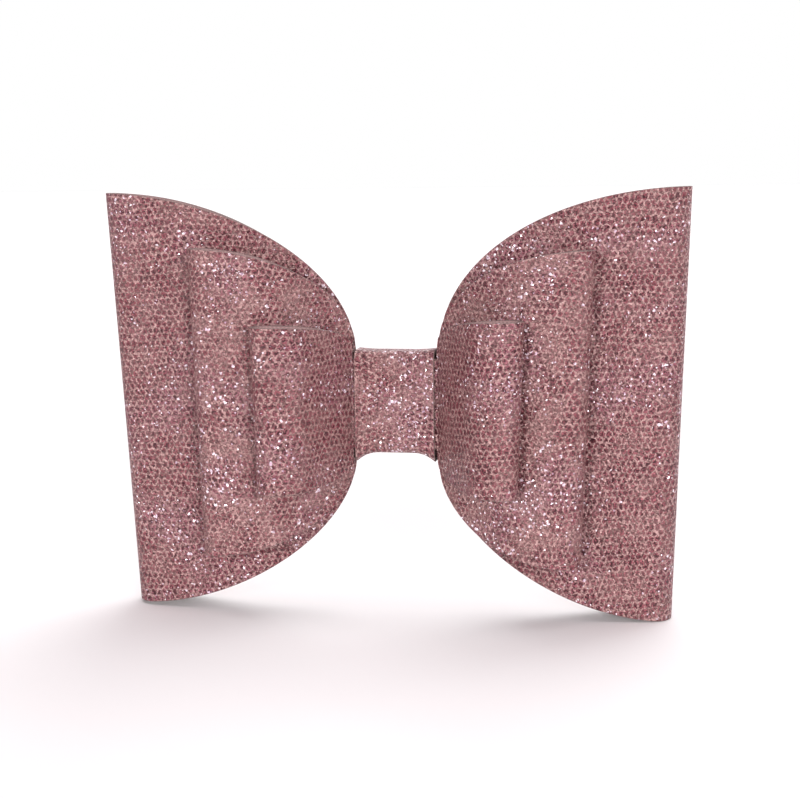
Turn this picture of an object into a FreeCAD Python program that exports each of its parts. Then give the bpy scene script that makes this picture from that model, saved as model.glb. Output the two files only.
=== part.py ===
"""Layered hair bow on a lined alligator clip.

Three hourglass strips of glitter sheet are each folded into a pair of loops, stacked with their waists
together, and bound by a band of the same sheet. The band also takes in the fixed plate of a spring clip.
The frame is in millimetres: +X runs along the bow, +Z is up, and the decorated side faces -Y.
The origin is the middle of the gap between the clip's jaws, where the hair lies.
"""

import FreeCAD
import Part

import math
import os
from collections import namedtuple

from FreeCAD import Vector

# Materials as bought.
SHEET = 1.0  # glitter sheet with its cloth backing
GLUE = 0.2  # hot-melt film between two glued faces
RIBBON = 0.4  # grosgrain that lines the clip
STEEL = 0.8  # clip plate

# The waist, where every strip passes through the band.
WAIST_HALF_HEIGHT = 12.2
BAND_HALF_WIDTH = 10.4
BAND_SLACK = 0.1  # room between the strips' edges and the band
BAND_CORNER = 1.5  # how far behind the loops the band turns in towards the clip
BAND_SHOULDER = 1.1  # from the ribbon's edge to the band's corner beside it
BAND_LAP_SHORT = 0.1  # how far the band's two ends stop short of the ribbon's edges
BAND_BENDS = [2.0, 1.8, 2.4, 2.4, 1.8, 2.0]  # centreline radii of its bends, in order along it
GLUE_HALF_LENGTH = 9.0
GLUE_HALF_HEIGHT = 10.2
END_GAP = 0.3  # between a strip's two ends, which meet edge to edge at the back

# The folds lean outwards at the top by this much for each millimetre of height.
LEAN = 0.042

# Distance from the middle at which a strip starts to widen and its panels turn forward, clear of the band.
WAIST_HALF_LENGTH = BAND_HALF_WIDTH + BAND_SLACK + LEAN * WAIST_HALF_HEIGHT
OUTLINE_STEPS = 9  # spans of the curve through a strip's cut edge

# One record for each loop. Angles are in degrees and turn towards the front.
#   half_width    the middle to the outside of the fold, at mid height
#   half_height   the strip's half height at the fold
#   waist_half_height  and at the waist, less in front, where the band's corners are round
#   squareness    exponent of the outline: 2 is an ellipse, more is squarer
#   fold_radius   centreline radius of the fold
#   fold_forward  how far the fold's centre stands in front of the loop's own waist
#   front_bend    radius of the crease where the front panel leaves the band
#   front_rise    the front panel's angle after that crease
#   front_return  the front panel's angle towards the back as it meets the fold
#   back_start    where the back panel leaves the waist plane
#   back_bend     radius of that bend
#   back_rise     the back panel's angle after the bend
#   back_end      the back panel's angle where it meets the fold
Loop = namedtuple(
    "Loop",
    "name half_width half_height waist_half_height squareness fold_radius fold_forward"
    " front_bend front_rise front_return back_start back_bend back_rise back_end",
)
LARGE = Loop(
    name="large_loop", half_width=73.8, half_height=55.4, waist_half_height=WAIST_HALF_HEIGHT,
    squareness=1.87, fold_radius=5.5, fold_forward=-0.6,
    front_bend=3.0, front_rise=13.0, front_return=8.0,
    back_start=31.5, back_bend=60.0, back_rise=-13.0, back_end=6.0,
)
MEDIUM = Loop(
    name="medium_loop", half_width=49.8, half_height=39.8, waist_half_height=WAIST_HALF_HEIGHT,
    squareness=2.1, fold_radius=4.2, fold_forward=9.6,
    front_bend=2.5, front_rise=34.0, front_return=6.0,
    back_start=WAIST_HALF_LENGTH, back_bend=1.5, back_rise=17.0, back_end=2.0,
)
SMALL = Loop(
    name="small_loop", half_width=33.0, half_height=21.8, waist_half_height=WAIST_HALF_HEIGHT - 1.2,
    squareness=3.4, fold_radius=3.5, fold_forward=14.6,
    front_bend=1.0, front_rise=56.0, front_return=6.0,
    back_start=WAIST_HALF_LENGTH, back_bend=1.5, back_rise=44.0, back_end=8.0,
)

# The clip.
HAIR_GAP = 4.4  # between the band's back and the moving jaw, closed
PLATE_HALF_WIDTH = 4.5
PLATE_CORNER = 1.5  # radius of the plate's corners in plan
RIBBON_HALF_WIDTH = 5.0  # the 10 mm ribbon stands a little past the plate on both sides
JAW_HALF_WIDTH = 3.6
CLIP_TIP = -30.0
CLIP_TAIL = 29.0
LINING_END = 12.0  # where the lining stops short of the hinge, inside the jaws
HINGE_X = 17.5
PIN_RADIUS = 1.0
PIN_CLEARANCE = 0.05
PIN_HEAD_RADIUS = 1.5
PIN_HEAD = 0.5
EAR_RADIUS = 2.3
EAR_HALF_LENGTH = 2.6  # along X, where an ear joins its plate
EAR_FOOT_SHARE = 0.4  # share of the ear's height that keeps that length
EAR_SIDE_GAP = 0.1  # between the plate's ears and the jaw's
JAW_ARCH_END = -12.0  # where the flat of the jaw turns down to the tip
JAW_TIP_RISE = 1.6  # from the roots of the teeth to the strip's middle, at the tip
JAW_TIP_RUN = 3.0  # length of the nearly flat end of the strip
JAW_TIP_DROP = 0.3  # and how far it slopes down
JAW_BENDS = [4.0, 9.0, 4.0]  # centreline radii of the jaw's bends, from the thumb tab to the tip
TAB_START = 20.2
TAB_ANGLE = 32.0
TAB_LENGTH = 11.0
TOOTH_PITCH = 2.0
TOOTH_DEPTH = 1.0
TOOTH_COUNT = 6
TOOTH_CLEARANCE = 0.05  # between the closed teeth and the lining
TEETH_START = 0.6  # from the tip to the first tooth
CHEEK_FRONT = 1.5  # height of the cheek above the teeth's roots, at the tip
CHEEK_BACK = 1.4  # and where it meets the arched back, beside the slope of that back
CHEEK_SLOPE_SHARE = 0.9  # how closely the cheek follows that slope
SPRING_WIRE = 0.6
SPRING_RADIUS = 1.7  # centreline radius of the coil
SPRING_TURNS = 5.5  # an odd half turn, so that both legs leave towards the thumb tab
SPRING_PITCH = 0.7
SPRING_LEG = 8.5
SPRING_TO_TAB = 0.35  # between the moving leg's tip and the thumb tab
SPRING_KNUCKLE = 0.34  # radius of the swelling where a leg is bent out of the coil

FAR = 200.0  # longer than anything in the model

# Levels across the stack of waists, worked out from the hair gap towards the front (-Y).
BAND_BACK = -HAIR_GAP / 2
LINING_BACK = BAND_BACK - 2 * SHEET - GLUE
PLATE_BACK = LINING_BACK - RIBBON
PLATE_FRONT = PLATE_BACK - STEEL
LINING_FRONT = PLATE_FRONT - RIBBON
STACK_BACK = LINING_FRONT - GLUE
LOOP_STACK = 2 * SHEET + GLUE  # one loop's two panels at the waist
JAW_INNER = HAIR_GAP / 2
JAW_OUTER = JAW_INNER + STEEL
HINGE_Y = (PLATE_BACK + JAW_INNER) / 2


def xy(x, y):
    return Vector(x, y, 0)


def box(x, y, z):
    """A box from three (low, high) pairs."""
    size = [high - low for low, high in (x, y, z)]
    return Part.makeBox(*size, Vector(x[0], y[0], z[0]))


def arc(points):
    return Part.Arc(*points).toShape()


def line(start, end):
    return Part.makeLine(start, end)


def turned(start, heading, radius, turn):
    """An arc from start along heading, turning by turn degrees (left positive).

    Returns the edge, its end and the heading there.
    """
    side = 1 if turn > 0 else -1
    centre = start + Vector(-math.sin(heading), math.cos(heading), 0) * radius * side

    def at(angle):
        return centre + Vector(math.sin(angle), -math.cos(angle), 0) * radius * side

    angle = math.radians(turn)
    edge = arc([start, at(heading + angle / 2), at(heading + angle)])
    return edge, at(heading + angle), heading + angle


def panel(start, end, bend, rise, finish):
    """Edges of a panel that leaves start along +X, bends forward by rise, runs straight, and curves to end.

    finish is its forward angle at end. The straight run's length and the long curve's radius follow from
    the two ends. Positive angles head towards -Y.
    """
    a = math.radians(rise)
    b = math.radians(finish)
    side = 1 if rise > 0 else -1
    across = end.x - start.x - bend * math.sin(abs(a))
    forward = (start.y - end.y) * side - bend * (1 - math.cos(a))
    a, b = abs(a), b * side
    swing_x = math.sin(a) - math.sin(b)
    swing_y = math.cos(b) - math.cos(a)
    scale = math.cos(a) * swing_y - math.sin(a) * swing_x
    run = (across * swing_y - forward * swing_x) / scale
    radius = (forward * math.cos(a) - across * math.sin(a)) / scale
    if run <= 0 or radius <= 0:
        raise ValueError(f"panel from {start} to {end}: run {run:.2f}, radius {radius:.2f}")
    first, corner, heading = turned(start, 0.0, bend, -rise)
    after = corner + Vector(math.cos(heading), math.sin(heading), 0) * run
    curve, _, _ = turned(after, heading, radius, rise - finish)
    return [first, line(corner, after), curve]


def ends(edge):
    return edge.valueAt(edge.FirstParameter), edge.valueAt(edge.LastParameter)


def beside(edge, distance):
    """A straight or round edge, moved to the left of its own direction."""
    points = []
    for share in (0, 0.5, 1):
        place = edge.FirstParameter + share * (edge.LastParameter - edge.FirstParameter)
        along = edge.tangentAt(place)
        points.append(edge.valueAt(place) + Vector(-along.y, along.x, 0) * distance)
    if isinstance(edge.Curve, Part.Line):
        return line(points[0], points[-1])
    return arc(points)


def strip_face(edges, thickness):
    """The section of a sheet whose middle follows edges, a smooth chain in XY given in order."""
    sides = ([], [])
    spot = ends(edges[0])[0]
    for edge in edges:
        start, end = ends(edge)
        ahead = start.isEqual(spot, 1e-6)
        spot = end if ahead else start
        for side, distance in zip(sides, (thickness / 2, -thickness / 2)):
            side.append(beside(edge, distance if ahead else -distance))
    wires = [Part.Wire(side) for side in sides]
    caps = [line(*[wire.OrderedVertexes[i].Point for wire in wires]) for i in (0, -1)]
    return Part.Face(Part.Wire(Part.__sortEdges__(sides[0] + sides[1] + caps)))


def lobe_section(loop, waist):
    """The right lobe's section at mid height. waist is the level of the loop's middle at the waist."""
    step = (SHEET + GLUE) / 2
    front, back = waist - step, waist + step
    centre = xy(loop.half_width - SHEET / 2 - loop.fold_radius, waist - loop.fold_forward)

    def on_fold(angle, side):
        a = math.radians(angle)
        return centre + xy(loop.fold_radius * math.sin(a), loop.fold_radius * math.cos(a) * side)

    front_foot = xy(WAIST_HALF_LENGTH, front)
    back_foot = xy(loop.back_start, back)
    fold_front = on_fold(loop.front_return, -1)
    fold_back = on_fold(loop.back_end, 1)
    fold_tip = centre + xy(loop.fold_radius, 0)
    overrun = -LEAN * loop.half_height * 2
    edges = [line(xy(overrun, front), front_foot)]
    edges += panel(front_foot, fold_front, loop.front_bend, loop.front_rise, -loop.front_return)
    edges.append(arc([fold_front, fold_tip, fold_back]))
    edges += panel(back_foot, fold_back, loop.back_bend, loop.back_rise, loop.back_end)[::-1]
    edges.append(line(back_foot, xy(overrun, back)))
    return strip_face(edges, SHEET)


def outline_height(loop, x):
    """Half height of the strip, seen from the front, at x from the middle."""
    if x <= WAIST_HALF_LENGTH:
        return loop.waist_half_height
    reach = max(0.0, (loop.half_width - x) / (loop.half_width - WAIST_HALF_LENGTH))
    rise = (1 - reach**loop.squareness) ** (1 / loop.squareness)
    return loop.waist_half_height + (loop.half_height - loop.waist_half_height) * rise


def outline_prism(loop):
    """The right half of the cut outline, leaning with the fold, as a bar along Y."""
    span = loop.half_width - WAIST_HALF_LENGTH
    steps = [(i / OUTLINE_STEPS) ** 2 for i in range(OUTLINE_STEPS + 1)]

    def edge_curve(side):
        points = []
        for step in steps:
            x = WAIST_HALF_LENGTH + span * step
            z = outline_height(loop, x) * side
            points.append(Vector(x + LEAN * z, -FAR / 2, z))
        curve = Part.BSplineCurve()
        curve.interpolate(points)
        return curve.toShape()

    top, bottom = edge_curve(1), edge_curve(-1)
    corners = [
        bottom.Vertexes[0].Point,
        Vector(-1, -FAR / 2, -loop.waist_half_height),
        Vector(-1, -FAR / 2, loop.waist_half_height),
        top.Vertexes[0].Point,
    ]
    outer = [
        top.Vertexes[-1].Point,
        top.Vertexes[-1].Point + Vector(FAR, 0, 0),
        bottom.Vertexes[-1].Point + Vector(FAR, 0, 0),
        bottom.Vertexes[-1].Point,
    ]
    edges = [top, bottom]
    for chain in (corners, outer):
        edges += [line(a, b) for a, b in zip(chain, chain[1:])]
    face = Part.Face(Part.Wire(Part.__sortEdges__(edges)))
    return face.extrude(Vector(0, FAR, 0))


def make_loop(loop, waist):
    """One strip folded into two loops, its ends meeting at the back of the waist."""
    height = loop.half_height * 1.1
    section = lobe_section(loop, waist)
    section.translate(Vector(-LEAN * height, 0, -height))
    lobe = section.extrude(Vector(2 * LEAN * height, 0, 2 * height))
    lobe = lobe.common(box((0, FAR), (-FAR / 2, FAR / 2), (-FAR / 2, FAR / 2)))
    lobe = lobe.common(outline_prism(loop))
    strip = lobe.fuse(lobe.mirror(Vector(0, 0, 0), Vector(1, 0, 0))).removeSplitter()
    seam = box(
        (-END_GAP / 2, END_GAP / 2),
        (waist + GLUE / 4, waist + FAR / 4),
        (-WAIST_HALF_HEIGHT - 1, WAIST_HALF_HEIGHT + 1),
    )
    return strip.cut(seam)


def waist_pad(front, half_length=GLUE_HALF_LENGTH, half_height=GLUE_HALF_HEIGHT):
    """A film of glue whose back is at the level front + GLUE."""
    return box((-half_length, half_length), (front, front + GLUE), (-half_height, half_height))


def rounded_path(points, radii):
    """A wire's edges through points, with an arc of the given radius at each inner point."""
    edges = []
    last = points[0]
    for before, corner, after, radius in zip(points, points[1:], points[2:], radii):
        back = (before - corner).normalize()
        ahead = (after - corner).normalize()
        half = back.getAngle(ahead) / 2
        reach = radius / math.tan(half)
        middle = (back + ahead).normalize() * (radius / math.sin(half) - radius)
        edges.append(line(last, corner + back * reach))
        edges.append(arc([corner + back * reach, corner + middle, corner + ahead * reach]))
        last = corner + ahead * reach
    edges.append(line(last, points[-1]))
    return edges


def make_band():
    """The band, wrapped once round the waists and the clip plate, its end glued over its start."""
    top = WAIST_HALF_HEIGHT + BAND_SLACK + SHEET / 2
    front = STACK_BACK - 3 * LOOP_STACK - 3 * GLUE - SHEET / 2
    inner = LINING_BACK + SHEET / 2
    outer = inner + SHEET + GLUE
    lap = RIBBON_HALF_WIDTH - BAND_LAP_SHORT
    shoulder = RIBBON_HALF_WIDTH + BAND_SHOULDER
    corner = STACK_BACK + BAND_CORNER
    path = [
        (inner, -lap),
        (inner, shoulder),
        (corner, top),
        (front, top),
        (front, -top),
        (corner, -top),
        (outer, -shoulder),
        (outer, lap),
    ]
    # Drawn flat in XY with X as the level, then turned to stand in YZ.
    edges = rounded_path([xy(*p) for p in path], BAND_BENDS)
    band = strip_face(edges, SHEET).extrude(Vector(0, 0, 2 * BAND_HALF_WIDTH))
    turn = FreeCAD.Matrix(0, 0, 1, -BAND_HALF_WIDTH, 1, 0, 0, 0, 0, 1, 0, 0, 0, 0, 0, 1)
    return band.transformed(turn)


def rounded_plate(x, y, half_width, radius):
    """A flat plate whose four corners are rounded in plan."""
    plate = box(x, y, (-half_width, half_width))
    upright = [e for e in plate.Edges if abs(e.tangentAt(e.FirstParameter).y) > 0.99]
    return plate.makeFillet(radius, upright)


def ear(level, half_outer, side):
    """One hinge ear: a cheek from the plate at level to a round end about the pin."""
    thick = (half_outer - STEEL, half_outer) if side > 0 else (-half_outer, STEEL - half_outer)
    foot_top = level + (HINGE_Y - level) * EAR_FOOT_SHARE
    foot = box((HINGE_X - EAR_HALF_LENGTH, HINGE_X + EAR_HALF_LENGTH), sorted((level, foot_top)), thick)
    neck = box((HINGE_X - EAR_RADIUS, HINGE_X + EAR_RADIUS), sorted((level, HINGE_Y)), thick)
    end = Part.makeCylinder(EAR_RADIUS, STEEL, Vector(HINGE_X, HINGE_Y, thick[0]))
    return foot.fuse([neck, end])


def pin_hole(clearance):
    return Part.makeCylinder(PIN_RADIUS + clearance, FAR, Vector(HINGE_X, HINGE_Y, -FAR / 2))


def make_plate():
    """The clip's fixed plate, glued and bound to the back of the bow, with its two hinge ears."""
    plate = rounded_plate((CLIP_TIP, CLIP_TAIL), (PLATE_FRONT, PLATE_BACK), PLATE_HALF_WIDTH, PLATE_CORNER)
    ears = [ear(PLATE_BACK, PLATE_HALF_WIDTH, side) for side in (-1, 1)]
    return plate.fuse(ears).cut(pin_hole(0)).removeSplitter()


def make_lining():
    """The ribbon: along the plate's front, round its tip, and back inside the jaws."""
    across = (-RIBBON_HALF_WIDTH, RIBBON_HALF_WIDTH)
    front = box((CLIP_TIP, CLIP_TAIL), (LINING_FRONT, PLATE_FRONT), across)
    back = box((CLIP_TIP, LINING_END), (PLATE_BACK, LINING_BACK), across)
    nose = box((CLIP_TIP - RIBBON, CLIP_TIP), (LINING_FRONT, LINING_BACK), across)
    lining = front.fuse([back, nose]).removeSplitter()
    turned_edges = [
        e for e in lining.Edges
        if abs(e.tangentAt(e.FirstParameter).z) > 0.99 and e.BoundBox.XMax < CLIP_TIP - RIBBON / 2
    ]
    return lining.makeFillet(RIBBON * 0.9, turned_edges)


def jaw_path():
    """Middle line of the jaw's strip, from the thumb tab to the tip."""
    level = (JAW_INNER + JAW_OUTER) / 2
    tab = math.radians(TAB_ANGLE)
    tip_level = LINING_BACK + TOOTH_DEPTH + JAW_TIP_RISE
    points = [
        xy(TAB_START + TAB_LENGTH * math.cos(tab), level + TAB_LENGTH * math.sin(tab)),
        xy(TAB_START, level),
        xy(JAW_ARCH_END, level),
        xy(CLIP_TIP + JAW_TIP_RUN, tip_level),
        xy(CLIP_TIP, tip_level - JAW_TIP_DROP),
    ]
    return rounded_path(points, JAW_BENDS)


def make_teeth(side):
    """A cheek along one side of the jaw's tip, its lower edge cut into teeth."""
    floor = LINING_BACK + TOOTH_CLEARANCE
    start = CLIP_TIP + TEETH_START
    points = [Vector(start, floor + TOOTH_DEPTH, 0)]
    for i in range(TOOTH_COUNT):
        points.append(Vector(start + (i + 0.5) * TOOTH_PITCH, floor, 0))
        points.append(Vector(start + (i + 1) * TOOTH_PITCH, floor + TOOTH_DEPTH, 0))
    slope = (JAW_INNER - floor - TOOTH_DEPTH) / (JAW_ARCH_END - CLIP_TIP)
    last = points[-1]
    points.append(last + Vector(0, CHEEK_BACK + (last.x - CLIP_TIP) * slope * CHEEK_SLOPE_SHARE, 0))
    points.append(points[0] + Vector(0, CHEEK_FRONT, 0))
    points.append(points[0])
    cheek = Part.Face(Part.makePolygon(points)).extrude(Vector(0, 0, STEEL))
    cheek.translate(Vector(0, 0, JAW_HALF_WIDTH - STEEL if side > 0 else -JAW_HALF_WIDTH))
    return cheek


def make_jaw():
    """The moving jaw: thumb tab, hinge ears, arched back and toothed tip, folded from one strip."""
    strip = strip_face(jaw_path(), STEEL).extrude(Vector(0, 0, 2 * JAW_HALF_WIDTH))
    strip.translate(Vector(0, 0, -JAW_HALF_WIDTH))
    half_outer = PLATE_HALF_WIDTH - STEEL - EAR_SIDE_GAP
    ears = [ear(JAW_INNER, half_outer, side) for side in (-1, 1)]
    teeth = [make_teeth(side) for side in (-1, 1)]
    return strip.fuse(ears + teeth).cut(pin_hole(PIN_CLEARANCE)).removeSplitter()


def make_pin():
    """The hinge pin, with its two peened heads outside the plate's ears."""
    reach = PLATE_HALF_WIDTH
    pin = Part.makeCylinder(PIN_RADIUS, 2 * reach, Vector(HINGE_X, HINGE_Y, -reach))
    heads = []
    for side in (-1, 1):
        base = Vector(HINGE_X, HINGE_Y, side * reach)
        heads.append(Part.makeCone(PIN_HEAD_RADIUS, PIN_RADIUS, PIN_HEAD, base, Vector(0, 0, side)))
    return pin.fuse(heads).removeSplitter()


def leg(foot, angle):
    """A straight leg of spring wire, with a rounded knuckle where it leaves the coil."""
    heading = Vector(math.cos(angle), math.sin(angle), 0)
    ball = Part.makeSphere(SPRING_KNUCKLE, foot)
    return ball.fuse(Part.makeCylinder(SPRING_WIRE / 2, SPRING_LEG, foot, heading))


def make_spring():
    """The torsion spring: a coil round the pin, one leg on the fixed plate and one under the jaw's tab."""
    length = SPRING_TURNS * SPRING_PITCH
    helix = Part.makeHelix(SPRING_PITCH, length, SPRING_RADIUS)
    circle = Part.Circle(Vector(SPRING_RADIUS, 0, 0), Vector(0, 1, 0), SPRING_WIRE / 2)
    coil = Part.Wire(helix.Edges).makePipeShell([Part.Wire(circle.toShape())], True, True)
    coil.rotate(Vector(0, 0, 0), Vector(0, 0, 1), 90)
    coil.translate(Vector(HINGE_X, HINGE_Y, -length / 2))

    fixed_foot = Vector(HINGE_X, HINGE_Y - SPRING_RADIUS, length / 2)
    fixed_drop = fixed_foot.y - PLATE_BACK - SPRING_WIRE / 2
    fixed_leg = leg(fixed_foot, -math.asin(fixed_drop / SPRING_LEG))

    # The moving leg's tip lies just under the tab's inner face, which stands off the strip's middle line.
    moving_foot = Vector(HINGE_X, HINGE_Y + SPRING_RADIUS, -length / 2)
    tab = math.radians(TAB_ANGLE)
    from_corner = moving_foot - Vector(TAB_START, (JAW_INNER + JAW_OUTER) / 2, moving_foot.z)
    standing = from_corner.dot(Vector(math.sin(tab), -math.cos(tab), 0))
    closing = (STEEL / 2 + SPRING_WIRE / 2 + SPRING_TO_TAB - standing) / SPRING_LEG
    moving_leg = leg(moving_foot, tab - math.asin(closing))
    return coil.fuse([fixed_leg, moving_leg])


def build():
    """Every node's name and shape."""
    nodes = {}
    level = STACK_BACK
    for loop in (LARGE, MEDIUM, SMALL):
        waist = level - LOOP_STACK / 2
        nodes[loop.name] = make_loop(loop, waist)
        level -= LOOP_STACK + GLUE
        pads = [waist_pad(waist - GLUE / 2), waist_pad(level)]
        nodes[loop.name + "_glue"] = Part.makeCompound(pads)
    nodes["centre_band"] = make_band()
    lap_glue = waist_pad(BAND_BACK - SHEET - GLUE, half_height=PLATE_HALF_WIDTH - 0.5)
    nodes["band_lap_glue"] = lap_glue
    nodes["clip_glue"] = waist_pad(STACK_BACK, half_height=PLATE_HALF_WIDTH - 0.5)
    nodes["clip_fixed_plate"] = make_plate()
    nodes["clip_lining_ribbon"] = make_lining()
    nodes["clip_moving_jaw"] = make_jaw()
    nodes["clip_hinge_pin"] = make_pin()
    nodes["clip_torsion_spring"] = make_spring()
    return nodes


os.makedirs("parts", exist_ok=True)
for name, shape in build().items():
    shape.exportStep(f"parts/{name}.step")
    print(f"{name}: {len(shape.Solids)} solids, valid {shape.isValid()}, {shape.Volume:.1f} mm3")
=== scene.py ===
import functools
import math
from collections import namedtuple

import bpy
from mathutils import Matrix, Vector


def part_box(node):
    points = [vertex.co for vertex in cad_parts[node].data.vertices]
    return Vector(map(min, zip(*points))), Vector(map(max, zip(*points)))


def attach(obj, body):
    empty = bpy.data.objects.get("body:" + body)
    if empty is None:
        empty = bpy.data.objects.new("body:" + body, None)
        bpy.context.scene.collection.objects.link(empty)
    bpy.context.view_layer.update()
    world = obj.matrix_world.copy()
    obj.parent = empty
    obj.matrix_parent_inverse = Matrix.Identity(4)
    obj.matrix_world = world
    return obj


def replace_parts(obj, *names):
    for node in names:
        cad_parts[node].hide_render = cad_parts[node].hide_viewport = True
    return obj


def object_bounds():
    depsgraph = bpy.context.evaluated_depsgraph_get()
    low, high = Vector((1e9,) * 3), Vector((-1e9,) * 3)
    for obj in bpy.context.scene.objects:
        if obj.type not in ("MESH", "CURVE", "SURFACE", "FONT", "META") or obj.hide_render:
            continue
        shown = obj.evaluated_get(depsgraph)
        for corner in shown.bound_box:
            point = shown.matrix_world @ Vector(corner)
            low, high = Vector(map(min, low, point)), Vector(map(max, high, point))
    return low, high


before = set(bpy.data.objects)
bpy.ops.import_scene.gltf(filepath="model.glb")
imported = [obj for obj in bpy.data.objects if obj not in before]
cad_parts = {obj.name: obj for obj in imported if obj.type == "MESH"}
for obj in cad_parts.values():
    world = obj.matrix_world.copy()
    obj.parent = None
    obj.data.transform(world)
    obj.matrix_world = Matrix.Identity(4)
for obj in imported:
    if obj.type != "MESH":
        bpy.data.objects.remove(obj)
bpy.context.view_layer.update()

# A hair bow: three strips of glitter sheet, each folded into a pair of loops, a band round their waists,
# and a spring clip lined with ribbon behind them. The front faces -Y.

MM = 0.001  # lengths below are in millimetres, and meshes in metres

# ---- sizes ----

SHEET = 1.0  # the sheet's thickness
GLUE = 0.2  # the thickness of the glue between two layers
EDGE_ROUND = 0.16  # how far a cut edge is worn back at its corners
LEAN = 0.042  # how far a fold leans out, for each millimetre of height
BACK_TUCK = 1.8  # how far the back panels' outlines lie inside the front's
END_GAP = 0.3  # between a loop's two ends, at the back of the waist
SQUEEZED_FROM = 5.0  # where a strip starts to spread from the waist, from its middle
FOOT_GAP = 0.6  # from the band's edge to where a panel turns forward
BAND_SLACK = 0.1  # room between the strips' edges and the band
BAND_CORNER = 1.5  # how far behind the loops the band turns in towards the clip
BAND_SHOULDER = 1.1  # from the ribbon's edge to the band's corner beside it
BAND_LAP_SHORT = 0.1  # how far the band's two ends stop short of the ribbon's edges
BAND_BENDS = [2.0, 1.8, 2.4, 2.4, 1.8, 2.0]  # centreline radii of its bends, in order along it
FLARE_FROM = 4.5  # where the band's folds start to spread, from its middle
FLARE_TOP = 0.35  # how far they spread at the band's top corners
FLARE_BOTTOM = 2.3
RIBBON_WIDTH = 10.0
RIBBON_INNER_END = 12.0  # where the ribbon ends inside the jaws, from the bow's middle
PLATE_BEAD = 0.55  # radius of the glue squeezed out along the clip's plate
LAP_BEAD = 0.42  # radius of the glue under the band's end
SPRING_WIRE = 0.6
SPRING_RADIUS = 1.7  # centreline radius of the coil
SPRING_TURNS = 5.5
SPRING_PITCH = 0.7
SPRING_LEG = 8.5
FIXED_LEG_HEADING = -10.2  # degrees, towards the plate
MOVING_LEG_HEADING = 27.9  # degrees, towards the jaw's thumb tab
SPRING_SHARED = 0.25  # turns that both pieces have, more than the jaw's swing
SPRING_COVER = 0.01  # how much thicker the moving piece's wire is, to cover what both pieces have
SPRING_STEPS = 24  # to a turn
STEP = 1.3  # longest stretch between two stations along a sheet
TURN_STEP = 9.0  # degrees between two stations round a bend
SHARP_EDGE = 28.0  # degrees between two faces that show as an edge
LAYOUT_START = 500.0  # keeps every place in a flat layout above 0, as the net's repeats need
ROUND_SIDES = 12  # faces round a wire or a bead of glue
BEAD_STEPS = 40  # along a bead


@functools.cache
def box_mm(node):
    """A CAD node's lowest and highest corners, in millimetres."""
    low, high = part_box(node)
    return Vector(low) / MM, Vector(high) / MM


BAND_LOW, BAND_HIGH = box_mm("centre_band")
FOOT = BAND_HIGH.x + FOOT_GAP  # where a panel turns forward out of the band

# A loop's shape. Angles are in degrees, and rise and return turn a panel towards the front and back.
Loop = namedtuple(
    "Loop",
    "name node fold_radius fold_forward front_bend front_rise front_return"
    " back_start back_bend back_rise back_end net_turn corners",
)
# One corner of a loop: its half width and half height at the fold, how square its outline is, and the
# half height at which the outline leaves the band. Each was cut and folded by hand, so no two agree.
Corner = namedtuple("Corner", "width height squareness foot")

LOOPS = [
    Loop(
        "large_loop_sheet", "large_loop", fold_radius=5.5, fold_forward=-0.6,
        front_bend=3.0, front_rise=13.0, front_return=8.0,
        back_start=31.5, back_bend=60.0, back_rise=-13.0, back_end=6.0, net_turn=2.5,
        corners={
            "left_top": Corner(78.0, 54.4, 1.87, 12.6),
            "left_bottom": Corner(71.9, 55.5, 1.87, 14.0),
            "right_top": Corner(74.9, 54.7, 2.0, 13.0),
            "right_bottom": Corner(71.2, 56.2, 1.8, 15.0),
        },
    ),
    Loop(
        "medium_loop_sheet", "medium_loop", fold_radius=4.2, fold_forward=9.6,
        front_bend=2.5, front_rise=34.0, front_return=6.0,
        back_start=FOOT, back_bend=1.5, back_rise=17.0, back_end=2.0, net_turn=-3.0,
        corners={
            "left_top": Corner(52.3, 40.2, 2.1, 12.5),
            "left_bottom": Corner(49.8, 39.5, 2.1, 13.6),
            "right_top": Corner(51.4, 39.4, 2.1, 12.6),
            "right_bottom": Corner(48.2, 40.6, 2.1, 14.2),
        },
    ),
    Loop(
        "small_loop_sheet", "small_loop", fold_radius=3.5, fold_forward=14.6,
        front_bend=1.0, front_rise=56.0, front_return=6.0,
        back_start=FOOT, back_bend=1.5, back_rise=44.0, back_end=8.0, net_turn=1.5,
        corners={
            "left_top": Corner(34.6, 20.8, 3.2, 11.4),
            "left_bottom": Corner(33.4, 21.8, 3.2, 12.0),
            "right_top": Corner(34.5, 22.4, 3.2, 11.4),
            "right_bottom": Corner(32.9, 21.8, 3.2, 12.0),
        },
    ),
]


# ---- sheets ----

# A point on a sheet's middle line: its place and outward direction in the plane that the sheet bends in,
# and the length so far.
Station = namedtuple("Station", "a b out_a out_b run")


class Pen:
    """Draws a sheet's middle line from straights and arcs. The sheet's face is on its right."""

    def __init__(self, a, b, heading=0.0):
        self.a, self.b, self.heading, self.run = a, b, heading, 0.0
        self.stations = []
        self.note()

    def note(self):
        """Keeps the place where the pen is as a station."""
        out = self.heading - math.pi / 2
        self.stations.append(Station(self.a, self.b, math.cos(out), math.sin(out), self.run))

    def ahead(self, length):
        """A straight."""
        steps = max(1, math.ceil(length / STEP))
        for _ in range(steps):
            self.a += math.cos(self.heading) * length / steps
            self.b += math.sin(self.heading) * length / steps
            self.run += length / steps
            self.note()

    def turn(self, radius, degrees):
        """An arc, to the left where degrees is positive."""
        length = radius * math.radians(abs(degrees))
        steps = max(2, math.ceil(length / STEP), math.ceil(abs(degrees) / TURN_STEP))
        each = math.radians(degrees) / steps
        chord = 2 * radius * math.sin(abs(each) / 2)
        for _ in range(steps):
            self.heading += each / 2
            self.a += math.cos(self.heading) * chord
            self.b += math.sin(self.heading) * chord
            self.heading += each / 2
            self.run += length / steps
            self.note()


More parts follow.
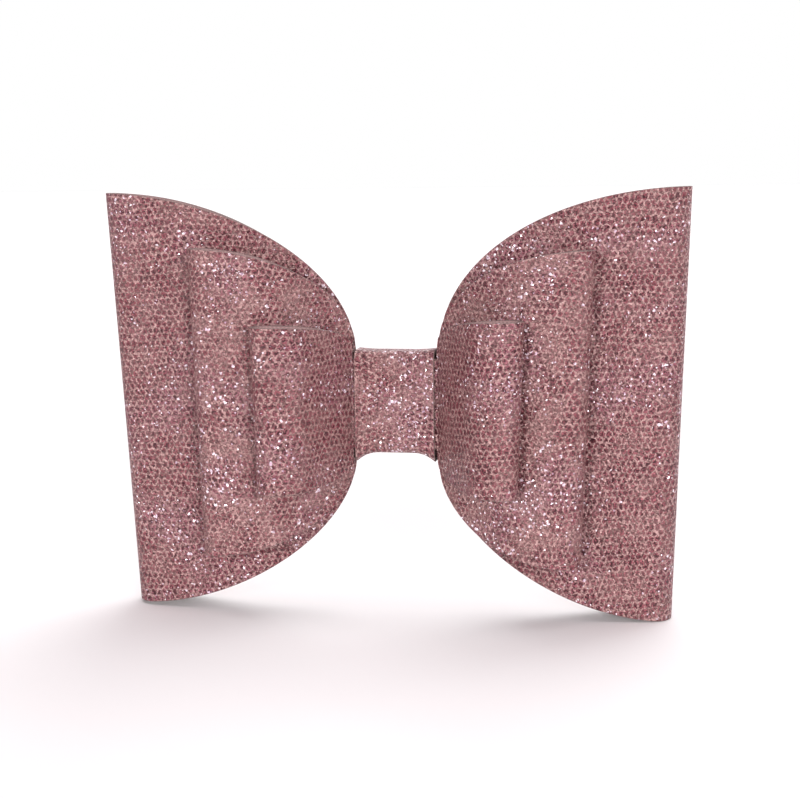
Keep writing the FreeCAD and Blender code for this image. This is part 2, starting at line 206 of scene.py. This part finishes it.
def straight_and_curve(across, forward, bend, rise, finish):
    """The straight run and the long curve's radius that take a panel from the band to its fold."""
    side = 1 if rise > 0 else -1
    first, last = math.radians(abs(rise)), math.radians(finish) * side
    across -= bend * math.sin(first)
    forward = forward * side - bend * (1 - math.cos(first))
    swing_across = math.sin(first) - math.sin(last)
    swing_forward = math.cos(last) - math.cos(first)
    scale = math.cos(first) * swing_forward - math.sin(first) * swing_across
    run = (across * swing_forward - forward * swing_across) / scale
    radius = (forward * math.cos(first) - across * math.sin(first)) / scale
    return run, radius


def loop_levels(loop):
    """Levels along Y of the loop's front and back panels at the waist."""
    waist = box_mm(loop.node + "_glue")[1].y - GLUE / 2
    return waist - (SHEET + GLUE) / 2, waist + (SHEET + GLUE) / 2


def nominal_width(loop):
    """The designed half width at mid height."""
    high = box_mm(loop.node)[1]
    return high.x - LEAN * high.z


def half_loop(loop):
    """Stations of the right half, from the front of the waist round the fold to the back."""
    front, back = loop_levels(loop)
    waist = (front + back) / 2
    centre_a = nominal_width(loop) - SHEET / 2 - loop.fold_radius
    centre_b = waist - loop.fold_forward
    leaving, arriving = math.radians(loop.front_return), math.radians(loop.back_end)
    front_end = (
        centre_a + loop.fold_radius * math.sin(leaving),
        centre_b - loop.fold_radius * math.cos(leaving),
    )
    back_end = (
        centre_a + loop.fold_radius * math.sin(arriving),
        centre_b + loop.fold_radius * math.cos(arriving),
    )
    front_run, front_curve = straight_and_curve(
        front_end[0] - FOOT, front - front_end[1], loop.front_bend, loop.front_rise, -loop.front_return
    )
    back_run, back_curve = straight_and_curve(
        back_end[0] - loop.back_start, back - back_end[1], loop.back_bend, loop.back_rise, loop.back_end
    )
    pen = Pen(0.0, front)
    pen.ahead(FOOT)
    pen.turn(loop.front_bend, -loop.front_rise)
    pen.ahead(front_run)
    pen.turn(front_curve, loop.front_rise + loop.front_return)
    pen.turn(loop.fold_radius, 180 - loop.front_return - loop.back_end)
    pen.turn(back_curve, loop.back_end - loop.back_rise)
    pen.ahead(back_run)
    pen.turn(loop.back_bend, loop.back_rise)
    pen.ahead(loop.back_start - END_GAP / 2)
    return pen.stations


def whole_loop(loop):
    """Stations of the whole strip, from its end at the back round the right half and the left half."""
    right = half_loop(loop)
    half = right[-1].run
    first = [s._replace(run=half - s.run) for s in reversed(right)]
    second = [Station(-s.a, s.b, -s.out_a, s.out_b, half + s.run) for s in right[1:]]
    return first + second


def smooth(value):
    """Eases from 0 to 1 as value goes from 0 to 1."""
    value = min(1.0, max(0.0, value))
    return value * value * (3 - 2 * value)


def corner_height(loop, corner, x):
    """Half height of the strip in one quarter, at x from the middle on the designed outline."""
    width = nominal_width(loop)
    waist = BAND_HIGH.z - SHEET - BAND_SLACK
    if abs(x) < FOOT:
        spread = smooth((abs(x) - SQUEEZED_FROM) / (FOOT - SQUEEZED_FROM)) ** 1.5
        return waist + (corner.foot - waist) * spread
    reach = max(0.0, (width - abs(x)) / (width - FOOT))
    rise = (1 - reach**corner.squareness) ** (1 / corner.squareness)
    return corner.foot + (corner.height - corner.foot) * rise


def loop_place(loop, station, across, inset, depth):
    """The point across (-1 to 1) the strip, inset from its cut edge, at a depth from its middle."""
    side = "right" if station.a > 0 else "left"
    corner = loop.corners[f"{side}_{'top' if across >= 0 else 'bottom'}"]
    cut = max(min(abs(station.a), FOOT), abs(station.a) - BACK_TUCK * max(0.0, station.out_b))
    z = across * (corner_height(loop, corner, cut) - inset)
    x = station.a + station.out_a * depth
    y = station.b + station.out_b * depth
    width = nominal_width(loop)
    top, bottom = loop.corners[side + "_top"], loop.corners[side + "_bottom"]
    share = 0.5 + 0.5 * z / (top.height if z > 0 else bottom.height)
    stretch = (bottom.width + (top.width - bottom.width) * share) / width
    far = smooth((abs(x) - FOOT) / (width - FOOT))
    return x * (1 + (stretch - 1) * far), y, z


def sheet_piece(name, stations, place, rows, materials, thickness=SHEET, turn=0.0, wide_along_x=False):
    """A closed, thick sheet that follows stations. It has one material each for face, back and cut edges.

    place(station, across, inset, depth) gives a point. The UV map holds the sheet's flat layout in
    millimetres, turned by turn degrees, with the sheet's width along Z, or along X.
    """
    half = thickness / 2
    spread = [2 * i / rows - 1 for i in range(rows + 1)]
    ring = [(v, EDGE_ROUND, half) for v in spread]
    ring += [(1, 0.0, half - EDGE_ROUND), (1, 0.0, EDGE_ROUND - half)]
    ring += [(v, EDGE_ROUND, -half) for v in reversed(spread)]
    ring += [(-1, 0.0, EDGE_ROUND - half), (-1, 0.0, half - EDGE_ROUND)]
    size = len(ring)
    points, layout = [], []
    cos, sin = math.cos(math.radians(turn)), math.sin(math.radians(turn))
    for station in stations:
        for across, inset, depth in ring:
            x, y, z = place(station, across, inset, depth)
            points.append((x * MM, y * MM, z * MM))
            wide = x if wide_along_x else z
            along_u = station.run * cos - wide * sin
            along_v = station.run * sin + wide * cos
            layout.append((LAYOUT_START + along_u, LAYOUT_START + along_v))

    def kind(j):
        """The material of the strip of faces from ring point j: face, back or cut edge."""
        if j < rows:
            return 0
        return 1 if rows + 3 <= j < 2 * rows + 3 else 2

    faces, slots = [], []
    for i in range(len(stations) - 1):
        for j in range(size):
            k = (j + 1) % size
            faces.append((i * size + j, i * size + k, (i + 1) * size + k, (i + 1) * size + j))
            slots.append(kind(j))
    end_quads = [(j, j + 1, 2 * rows + 2 - j, 2 * rows + 3 - j) for j in range(rows)]
    end_quads += [(rows, rows + 1, rows + 2, rows + 3), (2 * rows + 3, 2 * rows + 4, 2 * rows + 5, 0)]
    for i, order in ((0, -1), (len(stations) - 1, 1)):
        for quad in end_quads:
            faces.append(tuple(i * size + j for j in quad[::order]))
            slots.append(2)
    mesh = bpy.data.meshes.new(name)
    mesh.from_pydata(points, [], faces)
    mesh.polygons.foreach_set("material_index", slots)
    mesh.polygons.foreach_set("use_smooth", [True] * len(faces))
    uv = mesh.uv_layers.new(name="flat")
    for entry in mesh.loops:
        uv.data[entry.index].uv = layout[entry.vertex_index]
    mesh.update()
    mesh.set_sharp_from_angle(angle=math.radians(SHARP_EDGE))
    piece = bpy.data.objects.new(name, mesh)
    bpy.context.scene.collection.objects.link(piece)
    for material in materials:
        piece.data.materials.append(material)
    return piece


# ---- materials ----

NET_WIDTH = 1.61  # from one cell of the net to the next along a row
NET_HEIGHT = 1.61  # from one row to the next
FLAKES = 2.7  # to a millimetre
# The next is for the larger flakes that are painted as glints.
BROAD_GLINT_FLAKES = 1.7
STRAND_DARK = (0.150, 0.074, 0.070, 1)
STRAND_PALE = (0.510, 0.300, 0.288, 1)
FILM_DARK = (0.050, 0.007, 0.012, 1)
FILM_PALE = (0.275, 0.072, 0.090, 1)
FILM_LILAC = (0.30, 0.13, 0.17, 1)
# Base colours of the flakes painted as glints: painted highlights, not the flakes' own colour.
PAINTED_GLINT_WHITE = (0.92, 0.85, 0.88, 1)
PAINTED_GLINT_LILAC = (0.66, 0.42, 0.56, 1)
CLOTH_DARK = (0.30, 0.17, 0.17, 1)
CLOTH_PALE = (0.46, 0.30, 0.295, 1)
CUT_DARK = (0.13, 0.085, 0.08, 1)
CUT_PALE = (0.27, 0.19, 0.18, 1)
RIBBON_DARK = (0.36, 0.19, 0.19, 1)
RIBBON_PALE = (0.66, 0.44, 0.43, 1)
GLUE_AMBER = (0.62, 0.50, 0.36, 1)
GLUE_MILKY = (0.82, 0.76, 0.66, 1)
KNIT_ALONG = 0.9  # pitch of the backing's stitches along the sheet
KNIT_ACROSS = 0.7
RIB_PITCH = 0.85
THREAD_PITCH = 0.22
NICKEL = (0.78, 0.77, 0.75)
PIN_STEEL = (0.70, 0.69, 0.68)
SPRING_STEEL = (0.55, 0.54, 0.53)


class Shader:
    """A node material, with short ways to add nodes."""

    def __init__(self, name):
        self.material = bpy.data.materials.new(name)
        self.material.use_nodes = True
        self.tree = self.material.node_tree
        self.surface = self.tree.nodes["Principled BSDF"]

    def put(self, socket, value):
        if isinstance(value, bpy.types.NodeSocket):
            self.tree.links.new(value, socket)
        else:
            socket.default_value = value

    def add(self, kind, inputs=(), **settings):
        node = self.tree.nodes.new("ShaderNode" + kind)
        for key, value in settings.items():
            setattr(node, key, value)
        for key, value in dict(inputs).items():
            self.put(node.inputs[key], value)
        return node

    def math(self, operation, *values):
        node = self.add("Math", operation=operation)
        for socket, value in zip(node.inputs, values):
            self.put(socket, value)
        return node.outputs[0]

    def vector(self, operation, *values, output="Vector"):
        node = self.add("VectorMath", operation=operation)
        for socket, value in zip(node.inputs, values):
            self.put(socket, value)
        return node.outputs[output]

    def fit(self, value, low, high, to_low=0.0, to_high=1.0):
        """Smoothly maps value from low..high to to_low..to_high."""
        inputs = {0: value, 1: low, 2: high, 3: to_low, 4: to_high}
        return self.add("MapRange", inputs, interpolation_type="SMOOTHSTEP").outputs[0]

    def mix(self, share, first, second):
        node = self.add("Mix", data_type="RGBA")
        self.put(node.inputs["Factor"], share)
        self.put(node.inputs["A"], first)
        self.put(node.inputs["B"], second)
        return node.outputs["Result"]

    def noise(self, place, scale, detail=2.0, roughness=0.5):
        inputs = {"Vector": place, "Scale": scale, "Detail": detail, "Roughness": roughness}
        return self.add("TexNoise", inputs)

    def flakes(self, place, scale):
        """Each flake's own three chances, as a colour."""
        return self.add("TexVoronoi", {"Vector": place, "Scale": scale}).outputs["Color"]

    def waves(self, value, pitch):
        return self.math("SINE", self.math("MULTIPLY", value, 2 * math.pi / pitch))

    def layout(self):
        """The place on a sheet's flat layout, in millimetres."""
        return self.add("UVMap", uv_map="flat").outputs[0]

    def bump(self, height, distance, strength, normal=None):
        inputs = {"Height": height, "Distance": distance, "Strength": strength}
        if normal:
            inputs["Normal"] = normal
        return self.add("Bump", inputs).outputs[0]

    def surface_is(self, **values):
        """Sets the surface's inputs, each named in small letters, and returns the material."""
        for key, value in values.items():
            self.put(self.surface.inputs[key.replace("_", " ").title().replace("Ior", "IOR")], value)
        return self.material


def net_cells(shader, flat):
    """The net's six-sided cells: from a cell's middle (0) to its border (0.5), and the cell's own chance."""
    root = math.sqrt(3)
    slow = shader.noise(flat, 0.05, 1.0).outputs["Color"]
    quick = shader.noise(flat, 0.7, 1.0).outputs["Color"]
    moved = shader.vector("MULTIPLY_ADD", slow, (5.0, 5.0, 0.0), flat)
    moved = shader.vector("MULTIPLY_ADD", quick, (1.3, 1.5, 0.0), moved)
    place = shader.vector("MULTIPLY", moved, (1 / NET_WIDTH, root / 2 / NET_HEIGHT, 0.0))
    period, half = (1.0, root, 1.0), (0.5, root / 2, 0.0)
    first = shader.vector("SUBTRACT", shader.vector("MODULO", place, period), half)
    shifted = shader.vector("SUBTRACT", place, half)
    second = shader.vector("SUBTRACT", shader.vector("MODULO", shifted, period), half)
    nearer = shader.math(
        "LESS_THAN",
        shader.vector("LENGTH", first, output="Value"),
        shader.vector("LENGTH", second, output="Value"),
    )
    # A vector Mix has its two vectors as inputs 4 and 5, and its result as output 1.
    local = shader.add("Mix", {"Factor": nearer, 4: second, 5: first}, data_type="VECTOR").outputs[1]
    size = shader.vector("ABSOLUTE", local)
    sides = shader.vector("DOT_PRODUCT", size, (0.5, root / 2, 0.0), output="Value")
    reach = shader.math("MAXIMUM", shader.add("SeparateXYZ", {0: size}).outputs[0], sides)
    middle = shader.vector("SNAP", shader.vector("SUBTRACT", place, local), (0.25, 0.25, 1.0))
    chance = shader.add("TexWhiteNoise", {"Vector": middle}, noise_dimensions="3D").outputs["Value"]
    return reach, chance


def glitter_sheet(name, denser_more_glints=False):
    """Foil flakes set in dusty-rose film, under a fine pale net, with painted glints on a few flakes."""
    shader = Shader(name)
    flat = shader.layout()
    reach, cell_chance = net_cells(shader, flat)
    flakes = shader.flakes(flat, FLAKES)
    chance = shader.add("SeparateColor", {0: flakes}).outputs
    patches = shader.noise(flat, 0.06, 2.0).outputs[0]

    # The holes in the net are larger in some cells than in others, and flakes clog them here and there.
    edge = shader.math("MULTIPLY_ADD", cell_chance, 0.10, 0.31)
    ragged = shader.math("MULTIPLY_ADD", chance[0], 0.16, -0.08)
    inside = shader.math("SUBTRACT", edge, shader.math("ADD", reach, ragged))
    hole = shader.fit(inside, -0.07, 0.07)
    clog = shader.noise(flat, 0.13, 3.0).outputs[0]
    most, least = (0.95, 0.50) if denser_more_glints else (1.0, 0.75)
    hole = shader.math("MULTIPLY", hole, shader.fit(clog, 0.42, 0.62, most, least))

    strand = shader.mix(shader.fit(chance[1], 0.15, 0.85), STRAND_DARK, STRAND_PALE)
    film = shader.mix(shader.fit(chance[2], 0.15, 0.85), FILM_DARK, FILM_PALE)
    core = shader.fit(shader.math("ADD", reach, ragged), 0.05, 0.26, 0.55, 0.0)
    film = shader.mix(core, film, FILM_DARK)
    colour = shader.mix(hole, strand, film)
    lilac = shader.mix(shader.fit(patches, 0.45, 0.65, 0.0, 0.35), colour, FILM_LILAC)
    colour = shader.mix(shader.math("GREATER_THAN", chance[2], 0.6), colour, lilac)

    # Painted highlights: a few flakes are painted white, and some pink or lilac, as glints of flakes that
    # face the light. The denser sheet gets more of them, and they are smoother.
    painted_glint_from = shader.math("MULTIPLY_ADD", patches, -0.13, 1.046 if denser_more_glints else 1.056)
    painted_glint = shader.math("GREATER_THAN", chance[0], painted_glint_from)
    broad_glint_chance = shader.add("SeparateColor", {0: shader.flakes(flat, BROAD_GLINT_FLAKES)}).outputs[0]
    painted_glint = shader.math("MAXIMUM", painted_glint, shader.math("GREATER_THAN", broad_glint_chance, painted_glint_from))
    painted_glint_tint = shader.mix(chance[1], PAINTED_GLINT_WHITE, PAINTED_GLINT_LILAC)
    colour = shader.mix(painted_glint, colour, painted_glint_tint)

    # Every flake leans its own way.
    lean = shader.vector("SUBTRACT", flakes, (0.5, 0.5, 0.5))
    straight = shader.add("NewGeometry").outputs["Normal"]
    tilted = shader.vector("NORMALIZE", shader.vector("ADD", straight, lean))
    normal = shader.bump(shader.math("MULTIPLY", hole, -1.0), 0.00012, 0.6, tilted)

    metal = shader.fit(chance[2], 0.55, 0.75, 0.0, 0.4)
    rough = shader.fit(painted_glint, 0.0, 1.0, 0.45, 0.22)
    return shader.surface_is(base_color=colour, metallic=metal, roughness=rough, normal=normal)


def backing_cloth(name):
    """The sheet's knitted cloth back."""
    shader = Shader(name)
    flat = shader.layout()
    parts = shader.add("SeparateXYZ", {0: flat}).outputs
    knit = shader.math("MULTIPLY", shader.waves(parts[1], KNIT_ACROSS), shader.waves(parts[0], KNIT_ALONG))
    fluff = shader.noise(flat, 3.0, 4.0, 0.7).outputs[0]
    tone = shader.math("ADD", shader.math("MULTIPLY", knit, 0.25), fluff)
    colour = shader.mix(shader.fit(tone, 0.1, 0.9), CLOTH_DARK, CLOTH_PALE)
    normal = shader.bump(tone, 0.00010, 0.6)
    return shader.surface_is(base_color=colour, roughness=0.9, normal=normal, sheen_weight=0.25)


def cut_edge(name):
    """A sheet's cut edge, with fibres of cloth and film in it."""
    shader = Shader(name)
    place = shader.add("TexCoord").outputs["Object"]
    fibres = shader.noise(place, 2200.0, 4.0, 0.7).outputs[0]
    colour = shader.mix(shader.fit(fibres, 0.3, 0.7), CUT_DARK, CUT_PALE)
    normal = shader.bump(fibres, 0.00012, 0.7)
    return shader.surface_is(base_color=colour, roughness=0.85, normal=normal)


def metal(name, colour, roughness, grain):
    """Plated steel, drawn along X, dulled and scratched by use."""
    shader = Shader(name)
    place = shader.add("TexCoord").outputs["Object"]
    drawn = shader.vector("MULTIPLY", place, (grain * 0.06, grain, grain))
    streaks = shader.noise(drawn, 1.0, 3.0, 0.6).outputs[0]
    smudges = shader.noise(place, 180.0, 3.0).outputs[0]
    dull = tuple(0.72 * c for c in colour)
    tone = shader.mix(shader.fit(streaks, 0.35, 0.7), (*dull, 1), (*colour, 1))
    rough = shader.fit(shader.math("ADD", streaks, smudges), 0.7, 1.3, roughness, roughness + 0.22)
    normal = shader.bump(streaks, 0.00002, 0.5)
    return shader.surface_is(base_color=tone, metallic=1.0, roughness=rough, normal=normal)


def grosgrain(name):
    """Ribbon with ribs across it and fine threads along it."""
    shader = Shader(name)
    flat = shader.layout()
    parts = shader.add("SeparateXYZ", {0: flat}).outputs
    rib = shader.waves(parts[0], RIB_PITCH)
    thread = shader.waves(parts[1], THREAD_PITCH)
    fibre = shader.noise(flat, 7.0, 4.0, 0.7).outputs[0]
    height = shader.math("ADD", shader.fit(rib, -0.6, 0.8), shader.math("MULTIPLY", thread, 0.12))
    height = shader.math("ADD", height, shader.math("MULTIPLY", fibre, 0.3))
    colour = shader.mix(shader.fit(height, 0.0, 1.2), RIBBON_DARK, RIBBON_PALE)
    normal = shader.bump(height, 0.00016, 0.8)
    return shader.surface_is(base_color=colour, roughness=0.6, normal=normal, sheen_weight=0.3)


def hot_glue(name):
    """Cloudy hot-melt glue."""
    shader = Shader(name)
    place = shader.add("TexCoord").outputs["Object"]
    clouds = shader.noise(place, 500.0, 3.0).outputs[0]
    colour = shader.mix(clouds, GLUE_AMBER, GLUE_MILKY)
    normal = shader.bump(shader.noise(place, 900.0, 2.0).outputs[0], 0.0001, 0.4)
    return shader.surface_is(
        base_color=colour, roughness=0.28, normal=normal, transmission_weight=0.35, ior=1.48
    )


# ---- pieces ----


def make_loops(faces, back, edge):
    """The three strips, each one sheet folded into a right and a left loop."""
    for loop, face in zip(LOOPS, faces):
        stations = whole_loop(loop)

        def place(station, across, inset, depth, loop=loop):
            return loop_place(loop, station, across, inset, depth)

        piece = sheet_piece(loop.name, stations, place, 56, (face, back, edge), turn=loop.net_turn)
        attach(piece, "bow")
        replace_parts(piece, loop.node)


def make_band(face, back, edge):
    """The band, spread a little at its sides by the loops that it squeezes."""
    half_width = BAND_HIGH.x
    top = BAND_HIGH.z - SHEET / 2
    front = BAND_LOW.y + SHEET / 2
    clip_half_width = box_mm("clip_lining_ribbon")[1].z
    inner = box_mm("band_lap_glue")[0].y - SHEET / 2
    outer = BAND_HIGH.y - SHEET / 2
    back_level = box_mm("clip_glue")[0].y + BAND_CORNER

    def draw(points, radii):
        """Stations along a line with rounded corners, in the YZ plane."""
        pen = Pen(*points[0], math.atan2(points[1][1] - points[0][1], points[1][0] - points[0][0]))
        spare = 0.0
        for before, corner, after, radius in zip(points, points[1:], points[2:], radii):
            into = math.atan2(corner[1] - before[1], corner[0] - before[0])
            away = math.atan2(after[1] - corner[1], after[0] - corner[0])
            bend = (away - into + math.pi) % (2 * math.pi) - math.pi
            reach = radius * math.tan(abs(bend) / 2)
            pen.ahead(math.hypot(corner[0] - before[0], corner[1] - before[1]) - spare - reach)
            pen.turn(radius, math.degrees(bend))
            spare = reach
        last, end = points[-2], points[-1]
        pen.ahead(math.hypot(end[0] - last[0], end[1] - last[1]) - spare)
        return pen.stations

    lap, shoulder = clip_half_width - BAND_LAP_SHORT, clip_half_width + BAND_SHOULDER
    path = [
        (inner, -lap), (inner, shoulder), (back_level, top), (front, top),
        (front, -top), (back_level, -top), (outer, -shoulder), (outer, lap),
    ]
    stations = draw(path, BAND_BENDS)

    def place(station, across, inset, depth):
        x = across * (half_width - inset)
        y = station.a + station.out_a * depth
        z = station.b + station.out_b * depth
        spread = max(0.0, (abs(x) - FLARE_FROM) / (half_width - FLARE_FROM)) ** 2.2
        flare = FLARE_TOP if z > 0 else FLARE_BOTTOM
        z *= 1 + flare * spread / top
        return x, y, z

    materials = (face, back, edge)
    piece = sheet_piece("centre_band_sheet", stations, place, 24, materials, turn=4.0, wide_along_x=True)
    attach(piece, "bow")
    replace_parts(piece, "centre_band")


def make_lining(material):
    """The ribbon, from inside the jaws round the clip's tip and along the plate's front."""
    low, high = box_mm("clip_lining_ribbon")
    plate = box_mm("clip_fixed_plate")[0]
    thick = plate.y - low.y
    radius = (high.y - low.y - thick) / 2
    pen = Pen(RIBBON_INNER_END, high.y - thick / 2, math.pi)
    pen.ahead(RIBBON_INNER_END - low.x - thick / 2 - radius)
    pen.turn(radius, 180)
    pen.ahead(high.x - low.x - thick / 2 - radius)

    def place(station, across, inset, depth):
        ruffle = 0.05 * math.sin(station.run * 2.1) + 0.04 * math.sin(station.run * 0.7)
        z = across * (RIBBON_WIDTH / 2 - inset + ruffle)
        return station.a + station.out_a * depth, station.b + station.out_b * depth, z

    ribbon = sheet_piece("clip_ribbon", pen.stations, place, 10, [material] * 3, thick)
    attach(ribbon, "bow")
    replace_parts(ribbon, "clip_lining_ribbon")


def round_ring(centre, side, up):
    """Points round centre, where side and up are the ring's two half widths."""
    angles = [2 * math.pi * k / ROUND_SIDES for k in range(ROUND_SIDES)]
    return [centre + side * math.cos(a) + up * math.sin(a) for a in angles]


def tube(name, body, rings, material):
    """A skin over rings of points in millimetres, closed at both ends."""
    last = (len(rings) - 1) * ROUND_SIDES
    faces = []
    for start in range(0, last, ROUND_SIDES):
        for k in range(ROUND_SIDES):
            n = (k + 1) % ROUND_SIDES
            faces.append((start + k, start + ROUND_SIDES + k, start + ROUND_SIDES + n, start + n))
    faces.append(tuple(range(ROUND_SIDES)))
    faces.append(tuple(last + k for k in reversed(range(ROUND_SIDES))))
    mesh = bpy.data.meshes.new(name)
    mesh.from_pydata([point * MM for points in rings for point in points], [], faces)
    mesh.polygons.foreach_set("use_smooth", [True] * len(faces))
    mesh.update()
    piece = bpy.data.objects.new(name, mesh)
    bpy.context.scene.collection.objects.link(piece)
    piece.data.materials.append(material)
    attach(piece, body)
    return piece


def make_spring(material):
    """The spring in two pieces, so that its moving leg and the coil's last turn go with the jaw."""
    low, high = box_mm("clip_hinge_pin")
    axis = (low + high) / 2

    def on_coil(turns):
        """The wire's middle after so many turns from the fixed leg."""
        angle = -math.pi / 2 - 2 * math.pi * turns
        across = Vector((math.cos(angle), math.sin(angle), 0)) * SPRING_RADIUS
        return axis + across + Vector((0, 0, (SPRING_TURNS / 2 - turns) * SPRING_PITCH))

    def coil(start, end):
        steps = round((end - start) * SPRING_STEPS)
        return [on_coil(start + i / SPRING_STEPS) for i in range(steps + 1)]

    def leg_tip(foot, degrees):
        heading = math.radians(degrees)
        return foot + Vector((math.cos(heading), math.sin(heading), 0)) * SPRING_LEG

    def wire(name, body, line, radius):
        rings = []
        for i, here in enumerate(line):
            along = (line[min(i + 1, len(line) - 1)] - line[max(i - 1, 0)]).normalized()
            side = along.cross(Vector((0, 0, 1))).normalized()
            rings.append(round_ring(here, side * radius, side.cross(along) * radius))
        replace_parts(tube(name, body, rings, material), "clip_torsion_spring")

    last_turn = SPRING_TURNS - 1
    fixed = coil(0, last_turn + SPRING_SHARED)
    moving = coil(last_turn, SPRING_TURNS)
    fixed.insert(0, leg_tip(fixed[0], FIXED_LEG_HEADING))
    moving.append(leg_tip(moving[-1], MOVING_LEG_HEADING))
    wire("spring_coil", "bow", fixed, SPRING_WIRE / 2)
    wire("spring_moving_leg", "jaw", moving, SPRING_WIRE / 2 + SPRING_COVER)


def bead(name, start, end, radius, seed, material):
    """A line of hot glue, thicker and thinner along its length, with drawn-out ends."""
    line = Vector(end) - Vector(start)
    rings = []
    for i in range(BEAD_STEPS + 1):
        share = i / BEAD_STEPS
        taper = math.sin(math.pi * share) ** 0.35 if 0 < share < 1 else 0.12
        wave = 1 + 0.28 * math.sin(share * 19 + seed) + 0.16 * math.sin(share * 43 + 2.3 * seed)
        here = Vector(start) + line * share
        reach = radius * taper * wave
        rings.append(round_ring(here, Vector((0, reach * 0.8, 0)), Vector((0, 0, reach))))
    tube(name, "bow", rings, material)


def make_glue_beads(material):
    """Glue squeezed out along the clip's plate and under the band's end."""
    plate_edge = box_mm("clip_fixed_plate")[1].z
    level = box_mm("clip_glue")[0].y + 0.25
    for name, side, seed in (("upper", 1, 0.4), ("lower", -1, 2.0)):
        z = side * (plate_edge + 0.15)
        bead(f"clip_glue_bead_{name}", (-12.8, level, z), (13.2, level, z), PLATE_BEAD, seed, material)
    z = plate_edge + 0.1
    level = box_mm("band_lap_glue")[1].y + 0.1
    bead("band_end_glue_bead", (-8.5, level, z), (8.3, level, z), LAP_BEAD, 4.1, material)


def finish_cad_nodes():
    """The clip's metal and the hidden glue keep their CAD shapes and take these materials."""
    plated = metal("nickel_plate", NICKEL, 0.24, 9000.0)
    turned = metal("pin_steel", PIN_STEEL, 0.3, 6000.0)
    glue = hot_glue("hot_glue")
    chosen = {
        "clip_fixed_plate": plated,
        "clip_moving_jaw": plated,
        "clip_hinge_pin": turned,
        "clip_glue": glue,
        "band_lap_glue": glue,
        "large_loop_glue": glue,
        "medium_loop_glue": glue,
        "small_loop_glue": glue,
    }
    for node, material in chosen.items():
        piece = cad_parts[node]
        for slot in piece.material_slots:
            slot.material = material
    make_glue_beads(glue)


# ---- stage ----

CAMERA_AZIMUTH = 9.4
CAMERA_ELEVATION = 8.0
CAMERA_ROLL = -0.6
CAMERA_DISTANCE = 400.0
CAMERA_LENS = 68.7
SENSOR_WIDTH = 36.0
ROOM_LIGHT = 0.15  # the soft light from all round, on everything but the background
ROOM_COLOUR = (1.0, 0.56, 0.70, 1)
FLOOR_REACH = 40.0  # metres, so that no horizon shows
FLOOR_COLOUR = (0.93, 0.93, 0.93, 1)

# Each light's name, the direction that it comes from, its width in degrees and its strength.
LIGHTS = [
    ("left", (-0.30, -0.92, 0.20), 9, 1.25),
    ("right", (0.47, -0.86, 0.20), 12, 1.50),
    ("far_left", (-0.80, -0.58, 0.20), 30, 0.50),
    ("far_right", (0.85, -0.50, 0.20), 30, 0.50),
    ("top", (0.05, 0.20, 1.00), 70, 2.10),
    ("back", (0.30, 0.90, 0.40), 60, 1.90),
]


def look_at(thing, target, roll=0.0):
    """Points a camera's or a light's -Z at target."""
    facing = (thing.location - target).to_track_quat("Z", "Y").to_matrix()
    thing.rotation_euler = (facing @ Matrix.Rotation(roll, 3, "Z")).to_euler()


def make_camera():
    """The camera, in front of the bow, a little to its right and above it."""
    camera = bpy.data.objects.new("camera", bpy.data.cameras.new("camera"))
    bpy.context.scene.collection.objects.link(camera)
    waist = sum(loop_levels(LOOPS[0])) / 2
    target = Vector((0.4, waist + 0.1, -0.1)) * MM
    azimuth, elevation = math.radians(CAMERA_AZIMUTH), math.radians(CAMERA_ELEVATION)
    level, height = math.cos(elevation), math.sin(elevation)
    direction = Vector((math.sin(azimuth) * level, -math.cos(azimuth) * level, height))
    camera.location = target + direction * CAMERA_DISTANCE * MM
    look_at(camera, target, math.radians(CAMERA_ROLL))
    camera.data.lens = CAMERA_LENS
    camera.data.sensor_width = SENSOR_WIDTH
    camera.data.clip_start = 0.01
    bpy.context.scene.camera = camera


def make_light(name, source, spread, strength):
    """Sunlight from the direction of source."""
    data = bpy.data.lights.new(name, "SUN")
    data.angle = math.radians(spread)
    data.energy = strength
    light = bpy.data.objects.new(name, data)
    light.location = source
    look_at(light, Vector((0, 0, 0)))
    bpy.context.scene.collection.objects.link(light)


def make_floor():
    """A plain floor under the bow's lowest point."""
    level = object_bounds()[0][2]
    corners = [(-1, -1), (1, -1), (1, 1), (-1, 1)]
    mesh = bpy.data.meshes.new("floor")
    mesh.from_pydata([(x * FLOOR_REACH, y * FLOOR_REACH, level) for x, y in corners], [], [(0, 1, 2, 3)])
    floor = bpy.data.objects.new("floor", mesh)
    bpy.context.scene.collection.objects.link(floor)
    shader = Shader("floor_white")
    floor.data.materials.append(shader.surface_is(base_color=FLOOR_COLOUR, roughness=0.8))


def make_room():
    """A background that the camera sees as white, and that lights the bow softly in its own colour."""
    world = bpy.data.worlds.new("studio")
    bpy.context.scene.world = world
    world.use_nodes = True
    nodes, links = world.node_tree.nodes, world.node_tree.links
    seen = nodes.new("ShaderNodeLightPath").outputs["Is Camera Ray"]
    strength = nodes.new("ShaderNodeMapRange")
    strength.inputs["To Min"].default_value = ROOM_LIGHT
    strength.inputs["To Max"].default_value = 1.0
    links.new(seen, strength.inputs["Value"])
    links.new(strength.outputs[0], nodes["Background"].inputs["Strength"])
    tone = nodes.new("ShaderNodeMix")
    tone.data_type = "RGBA"
    tone.inputs["A"].default_value = ROOM_COLOUR
    tone.inputs["B"].default_value = (1, 1, 1, 1)
    links.new(seen, tone.inputs["Factor"])
    links.new(tone.outputs["Result"], nodes["Background"].inputs["Color"])


# ---- scene ----

face = glitter_sheet("glitter_net")
# The band and the medium loop get the denser sheet, which also has more painted glints.
band_face = glitter_sheet("glitter_net_dense", denser_more_glints=True)
back = backing_cloth("backing_cloth")
edge = cut_edge("cut_edge")
make_loops((face, band_face, face), back, edge)
make_band(band_face, back, edge)
make_lining(grosgrain("grosgrain"))
make_spring(metal("spring_wire", SPRING_STEEL, 0.32, 7000.0))
finish_cad_nodes()
make_camera()
make_floor()
make_room()
for light in LIGHTS:
    make_light(*light)
bpy.context.scene.view_settings.view_transform = "Standard"
